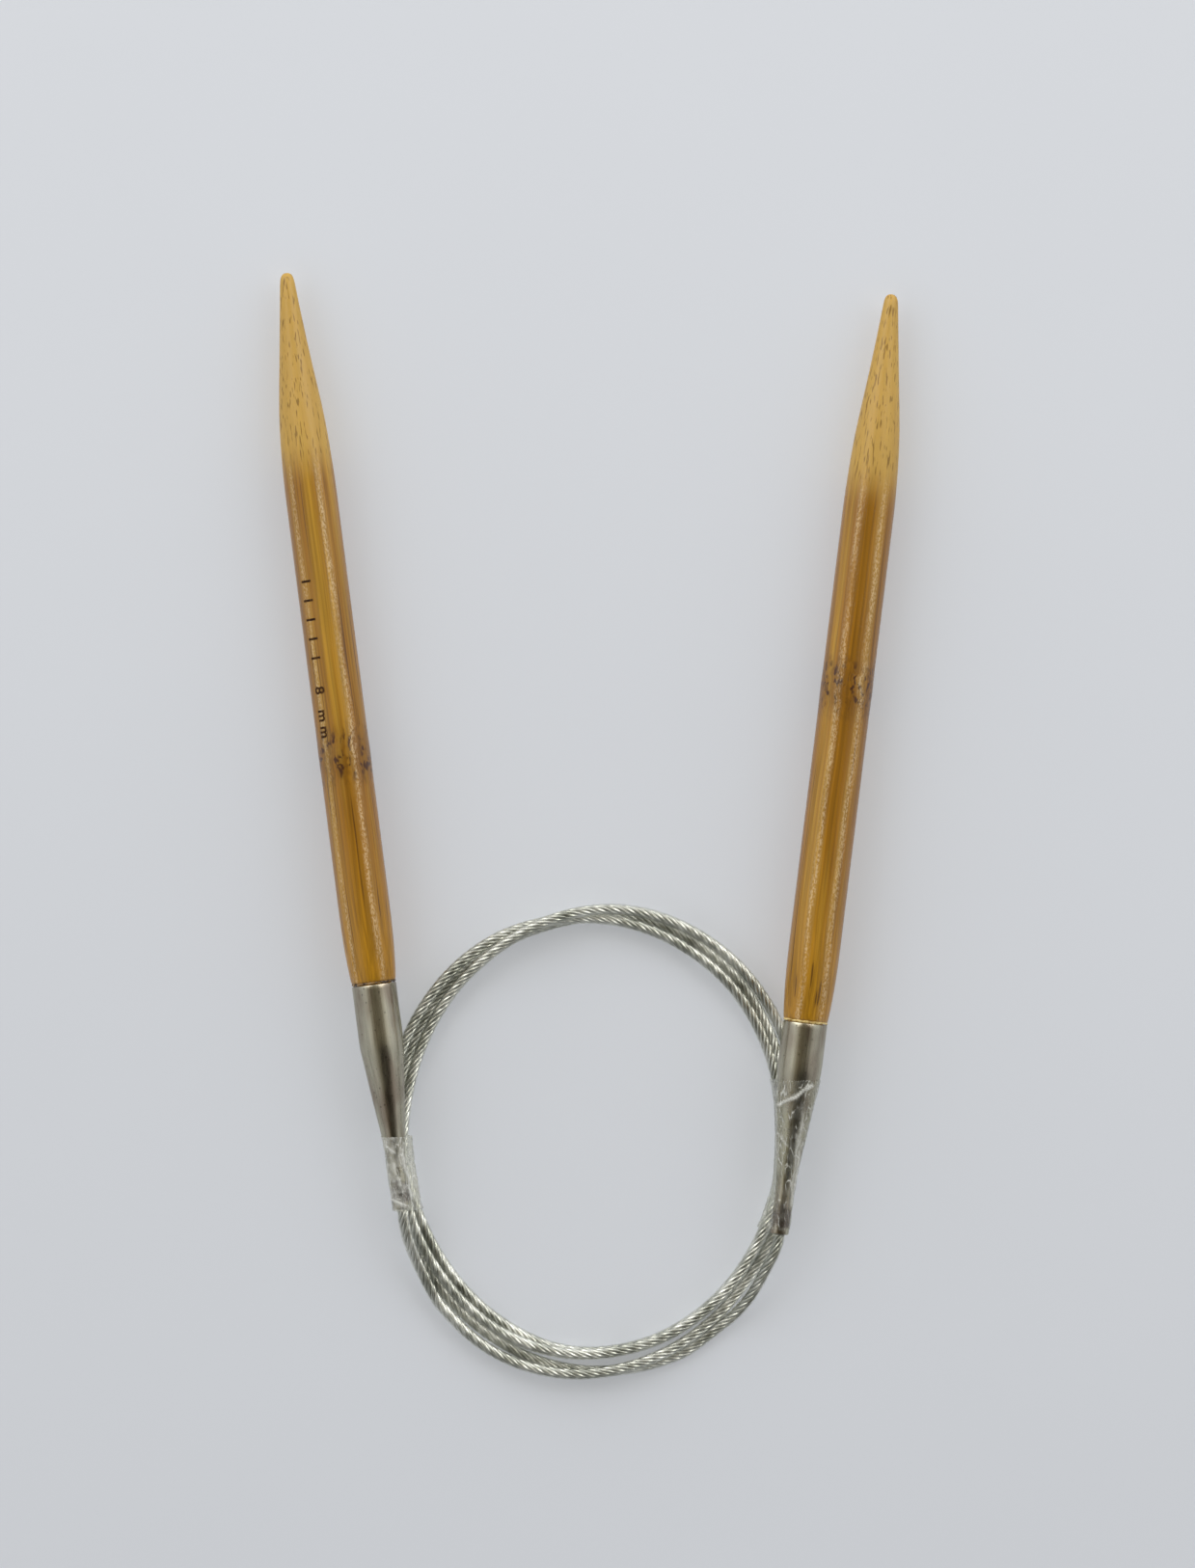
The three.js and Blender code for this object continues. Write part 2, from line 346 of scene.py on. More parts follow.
def sweep(line, radius, sides):
    """Vertices, faces and a corner's (around, along) of a round tube with closed ends."""
    up, side = frames(line)
    angles = np.arange(sides) * TAU / sides
    ring = (up[:, None] * np.cos(angles)[None, :, None]
            + side[:, None] * np.sin(angles)[None, :, None])
    vertices = (line[:, None] + radius * ring).reshape(-1, 3)
    faces, corners = [], []
    for i in range(len(line) - 1):
        for j in range(sides):
            k = (j + 1) % sides
            faces.append((i * sides + j, i * sides + k, (i + 1) * sides + k, (i + 1) * sides + j))
            corners += [(j, i), (j + 1, i), (j + 1, i + 1), (j, i + 1)]
    last = (len(line) - 1) * sides
    faces += [tuple(range(sides))[::-1], tuple(last + j for j in range(sides))]
    corners += [(0, 0)] * (2 * sides)
    return vertices, faces, np.array(corners, float)


def tinned_wire(colour):
    """Tinned steel wire rope: bright strands of seven fine wires, so each strand glints along its
    twist and goes dark in the grooves."""
    material, tree = new_material("tinned_steel_wire")
    lay = node(tree, "SeparateXYZ", {"Vector": node(tree, "UVMap", uv_map="lay").outputs[0]})
    twist = reckon(tree, "MULTIPLY", lay.outputs["Y"], TAU / WIRE_LAY)
    phase = reckon(tree, "MULTIPLY_ADD", lay.outputs["X"], WIRES * TAU, twist)
    patches = noisy(tree, object_place(tree), 260, 3).outputs["Fac"]
    show(tree, node(tree, "BsdfPrincipled", {
        "Base Color": tones(tree, patches, (0.35, linear("#a6a8a0")), (0.65, colour)),
        "Metallic": 1.0, "Roughness": ranged(tree, patches, (0, 0.28), (1, 0.44)),
        "Normal": relief(tree, reckon(tree, "SINE", phase), 0.012, 0.7)}))
    return material


def clear_coat(tint):
    """Clear soft vinyl, extruded over the rope: nearly invisible from above, with a smooth bright
    line along each pass and a faint straw tint."""
    material, tree = new_material("clear_vinyl_coat")
    ripple = noisy(tree, object_place(tree), 400, 1).outputs["Fac"]
    clear_plastic(tree, node(tree, "BsdfTransparent", {"Color": tint}),
                  relief(tree, ripple, 0.02, 0.25), 0.24)
    return material


class CableSettings(bpy.types.PropertyGroup):
    diameter: bpy.props.FloatProperty(
        name="Cable diameter", description="Over the clear coat", default=1.8 * MM,
        unit="LENGTH", precision=5)
    strand_radius: bpy.props.FloatProperty(
        name="Strand radius", description="Of each of the rope's six strands",
        default=0.27 * MM, unit="LENGTH", precision=5)
    helix_radius: bpy.props.FloatProperty(
        name="Helix radius", description="From the rope's centre to a strand's centre",
        default=0.54 * MM, unit="LENGTH", precision=5)
    lay: bpy.props.FloatProperty(
        name="Lay length", description="Along the rope for one turn of a strand",
        default=7.4 * MM, unit="LENGTH", precision=5)
    wire: bpy.props.FloatVectorProperty(
        name="Wire colour", description="Bright tinned steel", default=linear("#dbdcd8"),
        subtype="COLOR", size=4)
    coat: bpy.props.FloatVectorProperty(
        name="Coat tint", description="Colour seen through the clear coat",
        default=linear("#fdfdfa"), subtype="COLOR", size=4)


class KNITTING_OT_cable(bpy.types.Operator):
    """The coated cable and the six-strand wire rope inside it"""

    bl_idname = "knitting.cable"
    bl_label = "Cable"

    def execute(self, context):
        values = context.scene.knitting_cable
        coat_line, length = cable_line(0.75 * MM)
        vertices, faces, _ = sweep(coat_line, values.diameter / 2, 18)
        coat = mesh_piece("cable_coat", vertices, faces, clear_coat(values.coat))

        line, _ = cable_line(ROPE_STEP * MM)
        line = line[2:-2]         # the rope ends just inside the coat
        up, side = frames(line)
        turn = np.arange(len(line)) * ROPE_STEP * MM / values.lay * TAU
        parts = [(line, values.helix_radius * 0.62, 6)]       # the core
        for strand in range(STRANDS):
            angle = (turn + strand * TAU / STRANDS)[:, None]
            path = line + values.helix_radius * (up * np.cos(angle) + side * np.sin(angle))
            parts.append((path, values.strand_radius, 7))
        all_vertices, all_faces, all_corners = [], [], []
        for path, radius, sides in parts:
            vertices, faces, corners = sweep(path, radius, sides)
            start = sum(len(v) for v in all_vertices)
            all_vertices.append(vertices)
            all_faces += [tuple(v + start for v in face) for face in faces]
            all_corners.append(corners * (1 / sides, ROPE_STEP))
        rope = mesh_piece(
            "wire_rope", np.vstack(all_vertices), all_faces, tinned_wire(values.wire))
        lay = rope.data.uv_layers.new(name="lay")
        lay.data.foreach_set("uv", np.vstack(all_corners).ravel())

        for piece in (coat, rope):
            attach(piece, "coil")
        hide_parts("cable_coil", "cable_lead_left", "cable_lead_right")
        return {"FINISHED"}


# ---- the bamboo shafts ----

MEAN_DRIFT = 0.8              # the fibres' drift moves them this far aside on average
KNOT_SWELL, KNOT_REACH = 0.05, 2.2


def fibre_course(tree, own, knot):
    """Where each fibre really runs: it drifts along the shaft and swirls at the knot."""
    swirl = node(tree, "VectorMath", {
        0: noisy(tree, own, 330, 2).outputs["Color"], 1: (0.5, 0.5, 0.5)}, operation="SUBTRACT")
    swirl = node(tree, "VectorMath", {0: swirl.outputs[0], 1: (1.6 * MM, 4 * MM, 1.6 * MM)},
                 operation="MULTIPLY")
    swirl = node(tree, "VectorMath", {0: swirl.outputs[0], "Scale": knot}, operation="SCALE")
    drift = node(tree, "VectorMath", {
        0: noisy(tree, own, 28, 1).outputs["Color"], "Scale": 1.6 * MM}, operation="SCALE")
    course = node(tree, "VectorMath", {0: own, 1: swirl.outputs[0]}, operation="ADD")
    return node(tree, "VectorMath", {0: course.outputs[0], 1: drift.outputs[0]},
                operation="ADD").outputs[0]


def lacquered_bamboo(side, values):
    """Carbonised bamboo under clear lacquer: amber with long fibres, dark dashes where the taper
    cuts across them, a brown knot, and two grainy pale lines of painted highlight."""
    spec = NEEDLES[side]
    material, tree = new_material("lacquered_bamboo_" + side)
    own = own_axis(tree, side)
    along = node(tree, "SeparateXYZ", {"Vector": own}).outputs["Y"]
    off_knot = reckon(tree, "ABSOLUTE", reckon(tree, "SUBTRACT", along, spec["knot"] * MM))
    knot = ranged(tree, off_knot, (0.8 * MM, 1), (6.5 * MM, 0), "SMOOTHERSTEP")
    course = fibre_course(tree, own, knot)

    def streaks(width, length, detail, place=course):
        """Noise drawn out along the needle, its features this wide and long in millimetres."""
        stretched = node(tree, "Mapping", {
            "Vector": place, "Location": (spec["seed"], 0, spec["seed"]),
            "Scale": (1 / (width * MM), 1 / (length * MM), 1 / (width * MM))})
        return noisy(tree, stretched.outputs[0], 1.0, detail).outputs["Fac"]

    # long bands, more golden where the shaft narrows to its ferrule, and fine fibres over them
    colour = tones(tree, streaks(2.4, 110, 2), (0.36, values.deep), (0.5, values.amber),
                   (0.66, values.pale))
    ferrule = spec["ferrule"]
    ferrule_end = ranged(tree, along, ((ferrule + 1) * MM, 0.9), ((ferrule + 28) * MM, 0),
                         "SMOOTHSTEP")
    colour = laid_over(tree, ferrule_end, colour, values.golden)
    fine = ranged(tree, streaks(0.32, 26, 3), (0.3, 0.72), (0.7, 1.26))
    colour = node(tree, "VectorMath", {0: colour, "Scale": fine}, operation="SCALE").outputs[0]

    # single long dark vessels
    vessels = ranged(tree, streaks(0.42, 55, 1), (0.66, 0), (0.74, 1), "SMOOTHSTEP")
    colour = laid_over(tree, reckon(tree, "MULTIPLY", vessels, 0.7), colour, values.vessel)

    # the taper cuts across the vessels, and the cut wood is paler
    taper_start = spec["length"] - TIP_TAPER
    taper = ranged(tree, along, ((taper_start - 1) * MM, 0), ((taper_start + 7) * MM, 1),
                   "SMOOTHSTEP")
    colour = laid_over(tree, reckon(tree, "MULTIPLY", taper, 0.72), colour, values.cut)
    dashes = ranged(tree, streaks(0.27, 2.6, 1, own), (0.58, 0), (0.68, 1), "SMOOTHSTEP")
    dashes = reckon(tree, "MULTIPLY", reckon(tree, "MULTIPLY", dashes, taper), 0.55)
    colour = laid_over(tree, dashes, colour, values.vessel)

    # brown marks at the knot
    marks = ranged(tree, streaks(0.75, 1.9, 2), (0.5, 0), (0.66, 1), "SMOOTHSTEP")
    marks = reckon(tree, "MULTIPLY", reckon(tree, "MULTIPLY_ADD", marks, 0.9, 0.3), knot)
    colour = laid_over(tree, marks, colour, values.vessel)

    # two lengthwise lines of painted highlight: a pale grainy sparkle painted into the colour
    painted_highlight = 0.0
    wandering = node(tree, "SeparateXYZ", {"Vector": course}).outputs["X"]
    for place, half_width in spec["painted_highlights"]:
        apart = reckon(tree, "ABSOLUTE", reckon(
            tree, "SUBTRACT", wandering, (place + MEAN_DRIFT) * MM))
        line = ranged(tree, apart, (0, 1), (half_width * MM, 0), "SMOOTHSTEP")
        painted_highlight = reckon(tree, "ADD", line, painted_highlight)
    # these patterns break the painted highlight into grains
    for pattern, low, high, least in (
            (streaks(0.6, 12, 2), 0.36, 0.58, 0.2), (streaks(0.2, 0.45, 1, own), 0.44, 0.58, 0.12)):
        worn = ranged(tree, pattern, (low, least), (high, 1))
        painted_highlight = reckon(tree, "MULTIPLY", painted_highlight, worn)
    painted_highlight = reckon(tree, "MULTIPLY", painted_highlight, ranged(tree, taper, (0, 0.55), (1, 0)))
    colour = laid_over(tree, painted_highlight, colour, values.painted_highlight_colour)

    # the lacquer dries with a fine grain that follows the fibres, and is thin on the taper
    ridges = relief(tree, streaks(0.55, 30, 2), 0.05)
    grain = relief(tree, streaks(0.2, 0.4, 2, own), 0.06, Normal=ridges)
    show(tree, node(tree, "BsdfPrincipled", {
        "Base Color": colour, "Roughness": 0.5, "Specular IOR Level": 0.1,
        "Coat Weight": ranged(tree, taper, (0, 0.78), (1, 0.3)), "Coat Roughness": 0.16,
        "Coat IOR": 1.5, "Normal": ridges, "Coat Normal": grain}))
    return material


def scorched_bamboo():
    """Bamboo burned with a hot stamp: a matt dark brown, lighter where the stamp pressed less."""
    material, tree = new_material("scorched_bamboo")
    press = noisy(tree, object_place(tree), 2200, 2).outputs["Fac"]
    show(tree, node(tree, "BsdfPrincipled", {
        "Base Color": tones(tree, press, (0.4, linear("#2c1808")), (0.7, linear("#573814"))),
        "Roughness": 0.6, "Specular IOR Level": 0.1}))
    return material


class ShaftSettings(bpy.types.PropertyGroup):
    radius: bpy.props.FloatProperty(
        name="Shaft radius", description="The needle's size is twice this", default=4 * MM,
        unit="LENGTH", precision=5)
    waist: bpy.props.FloatProperty(
        name="Waist radius", description="Where the bamboo meets the ferrule",
        default=3.45 * MM, unit="LENGTH", precision=5)
    amber: bpy.props.FloatVectorProperty(
        name="Amber", description="The bamboo's middle tone", default=linear("#906210"),
        subtype="COLOR", size=4)
    deep: bpy.props.FloatVectorProperty(
        name="Deep amber", description="The darker lengthwise bands", default=linear("#85590b"),
        subtype="COLOR", size=4)
    pale: bpy.props.FloatVectorProperty(
        name="Pale amber", description="The lighter lengthwise bands", default=linear("#a57c2a"),
        subtype="COLOR", size=4)
    golden: bpy.props.FloatVectorProperty(
        name="Golden end", description="Where the shaft narrows to its ferrule",
        default=linear("#a27418"), subtype="COLOR", size=4)
    cut: bpy.props.FloatVectorProperty(
        name="Cut wood", description="The taper, cut across the fibres",
        default=linear("#c8a458"), subtype="COLOR", size=4)
    # the pale colour of the painted highlight lines along each shaft
    painted_highlight_colour: bpy.props.FloatVectorProperty(
        name="Painted highlight", description="The two pale lines along each shaft",
        default=linear("#e2c89c"), subtype="COLOR", size=4)
    vessel: bpy.props.FloatVectorProperty(
        name="Vessels", description="Dark vessels, dashes and the knot",
        default=linear("#462608"), subtype="COLOR", size=4)


class KNITTING_OT_shafts(bpy.types.Operator):
    """The two bamboo shafts, and the size burned into the left one"""

    bl_idname = "knitting.shafts"
    bl_label = "Bamboo shafts"

    def execute(self, context):
        values = context.scene.knitting_shafts
        full, waist = values.radius / MM, values.waist / MM
        for side, spec in NEEDLES.items():
            ferrule, length, knot = spec["ferrule"], spec["length"], spec["knot"]
            shoulder = ferrule + 0.45
            body = [(full, y) for y in np.arange(ferrule + 14, length - TIP_TAPER - 4, 1.6)]
            profile = flowing([
                (waist - 0.1, shoulder), (waist + 0.02, shoulder + 0.25), (3.64, ferrule + 2.3),
                (3.86, ferrule + 5.5), (3.98, ferrule + 9.5), *body, (full, length - 34.5),
                (3.97, length - 32), (3.87, length - 29), (3.7, length - 25.5),
                (3.35, length - 21), (2.5, length - 13.8), (1.95, length - 9), (1.5, length - 4.9),
                (1.19, length - 1.9), (1.03, length - 0.9), (0.8, length - 0.35),
                (0.45, length - 0.07), (0.12, length),
            ], 2)
            rings = [(2.75, ferrule - 8, 0), (2.75, shoulder - 0.02, 0)]
            for radius, along in profile:
                swell = KNOT_SWELL * math.exp(-((along - knot) / KNOT_REACH) ** 2)
                tip = min(max((along - length + TIP_TAPER) / TIP_TAPER, 0), 1)
                rings.append((radius + swell, along, spec["inward"] * TIP_SET * tip * tip))
            shaft = turned("bamboo_shaft_" + side, rings, 96)
            shaft.data.materials.append(lacquered_bamboo(side, values))
            set_in_place(shaft, side)
            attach(shaft, "needle_" + side)
            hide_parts("shaft_" + side)
        self.burn_size("left", full)
        return {"FINISHED"}

    def burn_size(self, side, radius):
        """A plain size mark along the shaft's outer flank, pressed on to the round surface."""
        bpy.ops.object.select_all(action="DESELECT")
        bpy.ops.object.text_add()
        mark = bpy.context.object
        mark.name = "size_mark"
        mark.data.body = "I I I I I  8 mm"
        mark.data.size = 2.5 * MM
        mark.data.space_character = 1.5
        mark.data.space_word = 1.6
        mark.data.offset = 0.06 * MM
        mark.data.resolution_u = 4
        bpy.ops.object.convert(target="MESH")
        bpy.ops.object.mode_set(mode="EDIT")
        bpy.ops.mesh.select_all(action="SELECT")
        bpy.ops.mesh.quads_convert_to_tris()
        bpy.ops.mesh.subdivide(number_cuts=2)
        bpy.ops.object.mode_set(mode="OBJECT")
        apply_modifier(mark, "SOLIDIFY", thickness=0.02 * MM, offset=0)
        start, across, flank = 98.5 * MM, radius * MM, math.radians(128)
        for vertex in mark.data.vertices:
            angle = flank - (vertex.co.y - 0.8 * MM) / across
            out = across + 0.012 * MM + vertex.co.z
            vertex.co = (math.cos(angle) * out, start - vertex.co.x, math.sin(angle) * out)
        mark.data.materials.append(scorched_bamboo())
        set_in_place(mark, side)
        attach(mark, "needle_" + side)


# ---- the ferrules ----

def drawn_steel(side, colour):
    """Stainless steel, drawn to a cone and tumbled: long soft reflections with faint lengthwise
    draw marks, warm brownish patches, a few pits, and dark brown patches that thicken towards the
    mouth."""
    material, tree = new_material("drawn_stainless_steel_" + side)
    own = own_axis(tree, side)
    seed = NEEDLES[side]["seed"]

    def drawn_out(width, length, detail, shift):
        place = node(tree, "Mapping", {
            "Vector": own, "Location": shift,
            "Scale": (1 / (width * MM), 1 / (length * MM), 1 / (width * MM))})
        return noisy(tree, place.outputs[0], 1.0, detail).outputs["Fac"]

    marks = drawn_out(0.3, 14, 3, (seed, seed, 0))
    # warm brownish patches at random over the whole ferrule
    warm_patches = drawn_out(2.6, 9, 2, (0, seed, 0))
    pits = node(tree, "TexVoronoi", {"Vector": own, "Scale": 900, "Randomness": 1.0})
    shade = reckon(tree, "MULTIPLY", ranged(tree, marks, (0.3, 0.86), (0.7, 1.06)),
                   ranged(tree, pits.outputs["Distance"], (0.1, 0.55), (0.16, 1)))
    base = node(tree, "VectorMath", {
        0: tones(tree, warm_patches, (0.34, linear("#94897a")), (0.56, colour)), "Scale": shade},
        operation="SCALE")
    along = node(tree, "SeparateXYZ", {"Vector": own}).outputs["Y"]
    # dark brown patches, denser towards the mouth
    dark_near_mouth = ranged(tree, noisy(tree, own, 420, 2).outputs["Fac"], (0.42, 0), (0.6, 1))
    dark_near_mouth = reckon(tree, "MULTIPLY", dark_near_mouth, ranged(tree, along, (3 * MM, 0.95), (12 * MM, 0)))
    tumbled = noisy(tree, own, 5200, 1).outputs["Fac"]
    show(tree, node(tree, "BsdfPrincipled", {
        "Base Color": laid_over(tree, dark_near_mouth, base.outputs[0], linear("#4b3b2c")), "Metallic": 1.0,
        "Roughness": ranged(tree, marks, (0, 0.2), (1, 0.36)),
        "Normal": relief(tree, tumbled, 0.003, Normal=relief(tree, marks, 0.006))}))
    return material


def set_adhesive(name, dark, bright):
    """Set epoxy squeezed out of the joint: glossy, with darker trapped dirt."""
    material, tree = new_material(name)
    dirt = noisy(tree, object_place(tree), 1400, 2).outputs["Fac"]
    show(tree, node(tree, "BsdfPrincipled", {
        "Base Color": tones(tree, dirt, (0.42, dark), (0.6, bright)), "Roughness": 0.25,
        "IOR": 1.55}))
    return material


def crimped_brass():
    """Brass squeezed on to the cable: warm and worn, with shallow dents."""
    material, tree = new_material("crimped_brass")
    wear = noisy(tree, object_place(tree), 900, 3).outputs["Fac"]
    show(tree, node(tree, "BsdfPrincipled", {
        "Base Color": tones(tree, wear, (0, linear("#9a7a35")), (1, linear("#d8bb6c"))),
        "Metallic": 1.0, "Roughness": 0.35, "Normal": relief(tree, wear, 0.03, 0.5)}))
    return material


def vinyl_over_rope():
    """Clear vinyl over the wire rope, for the cable's hidden ends: grey strands under a gloss."""
    material, tree = new_material("vinyl_over_rope")
    lay = node(tree, "TexWave", {"Vector": object_place(tree), "Scale": 180, "Distortion": 0.4},
               bands_direction="DIAGONAL")
    show(tree, node(tree, "BsdfPrincipled", {
        "Base Color": tones(tree, lay.outputs["Fac"], (0, linear("#6d7064")),
                            (1, linear("#c4c7ba"))),
        "Metallic": 0.7, "Roughness": 0.3, "Coat Weight": 0.8, "Coat Roughness": 0.1}))
    return material


class FerruleSettings(bpy.types.PropertyGroup):
    steel: bpy.props.FloatVectorProperty(
        name="Steel colour", description="Slightly warm stainless steel",
        default=linear("#b0ac9a"), subtype="COLOR", size=4)
    neck: bpy.props.FloatProperty(
        name="Neck radius", description="Of the straight neck round the cable",
        default=1.45 * MM, unit="LENGTH", precision=5)


class KNITTING_OT_ferrules(bpy.types.Operator):
    """The two steel ferrules, and the adhesive line where each meets its shaft"""

    bl_idname = "knitting.ferrules"
    bl_label = "Ferrules"

    def execute(self, context):
        values = context.scene.knitting_ferrules
        neck = values.neck / MM
        waist = context.scene.knitting_shafts.waist / MM
        bead_colours = {
            "left": (linear("#3b2a17"), linear("#8a6a3a")),
            "right": (linear("#a98a48"), linear("#e6d08f")),
        }
        for side, spec in NEEDLES.items():
            ferrule = spec["ferrule"]
            outside = flowing([
                (neck - 0.03, 0.12), (neck, 0.35), (neck, 3), (neck, 6), (neck + 0.02, 7.8),
                (neck + 0.2, 10), (2.2, 14.6), (2.75, 19.3), (3.18, 23.2), (3.33, 24.5),
                (3.42, 25.5), (waist, 26.8), (waist, 28), (waist, ferrule - 2),
                (waist, ferrule - 0.2),
            ], 3)
            rings = [(1.2, 0, 0), (neck - 0.12, 0, 0)]
            rings += [(radius, along, 0) for radius, along in outside]
            rings += [(waist - 0.06, ferrule - 0.03, 0), (waist - 0.16, ferrule, 0),
                      (2.95, ferrule, 0), (2.95, 25, 0), (1.15, NECK_LENGTH, 0), (1.15, 0.3, 0)]
            shell = turned("ferrule_shell_" + side, rings, 96, hollow=True)
            shell.data.materials.append(drawn_steel(side, values.steel))
            set_in_place(shell, side)
            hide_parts("ferrule_" + side)

            bpy.ops.object.select_all(action="DESELECT")
            bpy.ops.mesh.primitive_torus_add(
                major_segments=160, minor_segments=10, major_radius=(waist - 0.2) * MM,
                minor_radius=0.19 * MM, location=(0, (ferrule + 0.28) * MM, 0),
                rotation=(math.pi / 2, 0, 0))
            line = bpy.context.object
            line.name = "adhesive_bead_" + side
            bpy.ops.object.transform_apply(location=True, rotation=True, scale=True)
            ragged = bpy.data.textures.new("ragged_" + side, "CLOUDS")
            ragged.noise_scale = 0.7 * MM
            apply_modifier(line, "DISPLACE", texture=ragged, strength=0.3 * MM, mid_level=0.5,
                           texture_coords="LOCAL")
            epoxy = set_adhesive("set_epoxy_" + side, *bead_colours[side])
            line.data.materials.append(epoxy)
            set_in_place(line, side)
            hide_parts("adhesive_line_" + side)
            for piece in (shell, line):
                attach(piece, "needle_" + side)
        return {"FINISHED"}


class KNITTING_OT_fittings(bpy.types.Operator):
    """Finishes the cable's ends and the crimped sleeves inside the ferrules"""

    bl_idname = "knitting.fittings"
    bl_label = "Cable ends and sleeves"

    def execute(self, context):
        finishes = {"crimp_sleeve_": crimped_brass(), "cable_end_": vinyl_over_rope()}
        for name, material in finishes.items():
            for side in NEEDLES:
                mesh = frame["nodes"][name + side].data
                mesh.materials.clear()
                mesh.materials.append(material)
        return {"FINISHED"}


# ---- the tape ----

STATIONS = 96                 # sections along a wrap, and the points round each of them
SECTION_MIDDLE = 3.7          # height of each section's middle, in millimetres
CONE_SLOPE = 1.88 / 16        # how fast the ferrule widens beyond its neck
REACH_ASIDE = 6               # the passes this near to the ferrule are inside the wrap
CRUMPLE, WRINKLE = 0.1, 0.14  # heights of the film's soft and sharp waves

# Each wrap: where it starts and ends along Y, how loose it is on its inner side, how milky it is,
# over how many stations it evens out, and its folds: two places seen from above, and how deep
# the crease and how strong the painted white highlight are along the line between them.
WRAPS = {
    "left": {"top": -59.4, "bottom": -70.9, "slack": 0.9, "haze": 1.9, "even": 16, "folds": [
        ((-31.6, -60.5), (-30.2, -61.9), 0.4), ((-30.3, -63.6), (-29.2, -66.8), 0.4),
        ((-29.2, -61.5), (-27.4, -68.5), 0.35), ((-31, -69), (-28.4, -69.9), 0.4)]},
    "right": {"top": -50.6, "bottom": -73.8, "slack": 0.1, "haze": 0.3, "even": 9, "folds": [
        ((29.3, -54.4), (32.6, -52.5), 0.8), ((32.6, -52.5), (34.3, -51.3), 0.9),
        ((29.2, -58.9), (30.6, -60.6), 0.3), ((32.3, -59), (31.2, -70), 0.35),
        ((33.1, -56), (31.8, -68), 0.4)]},
}


def clear_film(side, haze):
    """Clear polypropylene tape, pulled tight: see-through, with sharp white glints on its creases,
    partly its own gloss and partly painted highlight in matt white, and a little haze where the
    glue holds air."""
    material, tree = new_material("clear_tape_film_" + side)
    here = object_place(tree)
    slanted = node(tree, "Mapping", {
        "Vector": here, "Rotation": (0, 0, 0.5),
        "Scale": (1 / (0.8 * MM), 1 / (2.6 * MM), 1 / (0.8 * MM))}).outputs[0]
    creases = noisy(tree, slanted, 1.0, 3, Distortion=0.8).outputs["Fac"]
    # painted highlight: thin matt white lines along crease cells stand for glints
    cells = node(tree, "TexVoronoi", {"Vector": slanted, "Scale": 1.1}, feature="DISTANCE_TO_EDGE")
    lines = reckon(tree, "MULTIPLY", ranged(tree, cells.outputs["Distance"], (0, 1), (0.06, 0)),
                   ranged(tree, creases, (0.48, 0), (0.62, 0.75)))
    air = noisy(tree, here, 620, 3, Distortion=0.5).outputs["Fac"]
    haze_and_painted_glints = reckon(tree, "ADD", ranged(tree, air, (0.4, haze * 0.3), (0.7, haze * 1.8)), lines)
    # painted highlight: matt white along the folds stands for their glints
    folds = node(tree, "Attribute", attribute_name="painted_fold_glint").outputs["Fac"]
    haze_and_painted_glints = node(tree, "Math", {0: folds, 1: 1.0, 2: haze_and_painted_glints}, operation="MULTIPLY_ADD", use_clamp=True)
    see = node(tree, "BsdfTransparent", {"Color": linear("#fbfbf8")})
    white = node(tree, "BsdfDiffuse", {"Color": linear("#dfe0dc"), "Roughness": 0.4})
    milky = node(tree, "MixShader", {0: haze_and_painted_glints.outputs[0], 1: see.outputs[0], 2: white.outputs[0]})
    clear_plastic(tree, milky, relief(tree, creases, 0.1), 0.1)
    return material


def fold_height(x, y, folds):
    """How strongly a place is folded, from the nearest of the folds, which waver a little."""
    best = 0
    waver = noise.noise_vector(Vector((x * 0.5, y * 0.5, 0))) * 0.35
    p = Vector((x + waver.x, y + waver.y))
    for start, end, strength in folds:
        a, b = Vector(start), Vector(end)
        t = min(max((p - a).dot(b - a) / (b - a).length_squared, 0), 1)
        apart = (p - a.lerp(b, t)).length / 0.17
        best = max(best, strength * math.exp(-apart * apart))
    return best


def round_points(count):
    """Evenly spaced angles and their unit vectors."""
    angles = np.arange(count) * TAU / count
    return angles, np.stack([np.cos(angles), np.sin(angles)], 1)


def stretched_round(circles, centre, angles):
    """How far a film pulled round circles, each an x, a z and a radius, lies from a centre."""
    _, normals = round_points(180)
    best = (circles[:, :2] @ normals.T + circles[:, 2:3]).argmax(0)
    edge = circles[best, :2] + circles[best, 2:3] * normals
    edge = np.vstack([edge, edge[:1]])
    run = np.concatenate([[0], np.cumsum(np.hypot(*np.diff(edge, axis=0).T))])
    at = np.linspace(0, run[-1], 400, endpoint=False)
    spoke = np.stack([np.interp(at, run, edge[:, k]) for k in (0, 1)], 1) - centre
    turn = np.arctan2(spoke[:, 1], spoke[:, 0]) % TAU
    order = np.argsort(turn)
    return np.interp(angles, turn[order], np.hypot(*spoke.T)[order], period=TAU)


def evened(radii, width):
    """The radii smoothed along the wrap, over this many stations each way."""
    padded = np.pad(radii, ((width, width), (0, 0)), mode="edge")
    kernel = np.hanning(2 * width + 3)[1:-1]
    kernel /= kernel.sum()
    return np.stack([np.convolve(column, kernel, "valid") for column in padded.T], 1)


class TapeSettings(bpy.types.PropertyGroup):
    gap: bpy.props.FloatProperty(
        name="Stand-off", description="Between the film and what it holds", default=0.08 * MM,
        unit="LENGTH", precision=5)
    crease: bpy.props.FloatProperty(
        name="Crease height", description="Of the folds in the film", default=0.16 * MM,
        unit="LENGTH", precision=5)
    haze: bpy.props.FloatProperty(
        name="Haze", description="How milky the film is", default=0.12, subtype="FACTOR",
        min=0, max=1)


